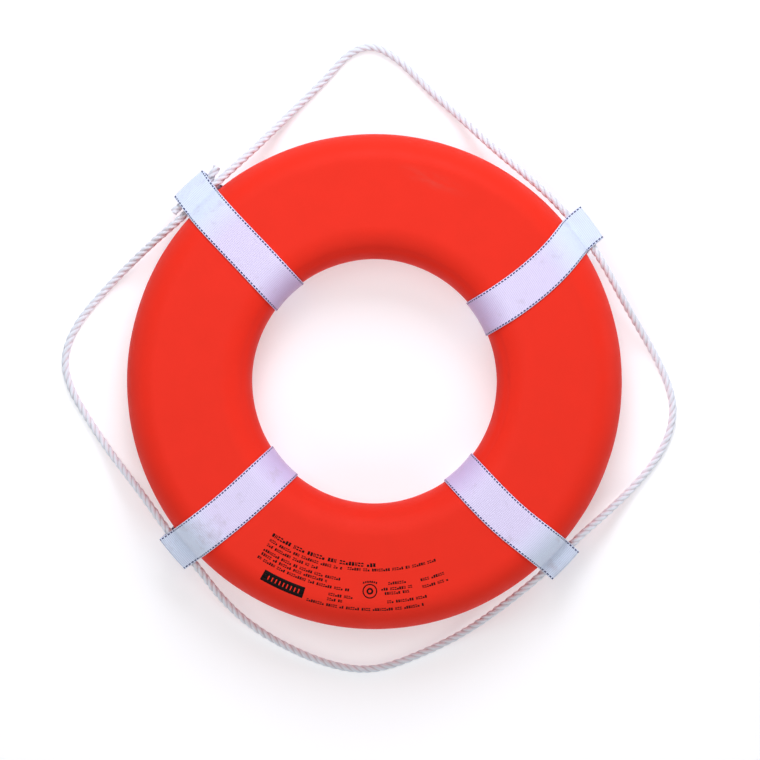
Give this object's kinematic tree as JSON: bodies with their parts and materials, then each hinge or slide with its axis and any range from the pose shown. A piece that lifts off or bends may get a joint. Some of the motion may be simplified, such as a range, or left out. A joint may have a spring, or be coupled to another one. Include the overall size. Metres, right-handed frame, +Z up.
{
  "type": "ring lifebuoy",
  "caption": "Flat-lying foam ring lifebuoy in a smooth vinyl skin, with webbing beckets and a laid grab line that hangs in loops around the rim.",
  "frame": {"origin": "on the ring's axis, at the floor that the ring lies on", "axes": "+Z up along the ring's axis, +Y towards the rear loop, +X to the right"},
  "size_m": [0.7626, 0.7804, 0.1082],
  "materials": {
    "foam": "matte",
    "vinyl_skin": "satin",
    "webbing": "matte",
    "thread": "matte",
    "rope": "matte",
    "twine": "matte"
  },
  "bodies": {
    "ring": {"foam_core": "foam", "vinyl_skin_top": "vinyl_skin", "vinyl_skin_bottom": "vinyl_skin", "becket_rear_right": "webbing", "becket_rear_left": "webbing", "becket_front_left": "webbing", "becket_front_right": "webbing", "becket_stitching_rear_right": "thread", "becket_stitching_rear_left": "thread", "becket_stitching_front_left": "thread", "becket_stitching_front_right": "thread", "grab_line_rear_end": "rope", "grab_line_through_rear_right": "rope", "grab_line_through_front_right": "rope", "grab_line_through_front_left": "rope", "grab_line_left_end": "rope", "end_seizing": "twine"},
    "rear_loop": {"grab_line_rear_loop": "rope"},
    "right_loop": {"grab_line_right_loop": "rope"},
    "front_loop": {"grab_line_front_loop": "rope"},
    "left_loop": {"grab_line_left_loop": "rope"}
  },
  "joints": [
    {"name": "rear_loop_swing", "type": "hinge", "parent": "ring", "child": "rear_loop", "pos_m": [-0.00054, 0.27279, 0.04741], "axis": [1, 0.0057, 0.0005], "range_deg": [0, 100]},
    {"name": "right_loop_swing", "type": "hinge", "parent": "ring", "child": "right_loop", "pos_m": [0.28087, -0.02382, 0.04386], "axis": [-0.0695, -0.9973, -0.0257], "range_deg": [0, 100]},
    {"name": "front_loop_swing", "type": "hinge", "parent": "ring", "child": "front_loop", "pos_m": [-0.01791, -0.25948, 0.04365], "axis": [-0.9984, 0.055, -0.0133], "range_deg": [0, 100]},
    {"name": "left_loop_swing", "type": "hinge", "parent": "ring", "child": "left_loop", "pos_m": [-0.27331, 0.01119, 0.04423], "axis": [0.0229, 0.9993, -0.0284], "range_deg": [0, 100]}
  ]
}
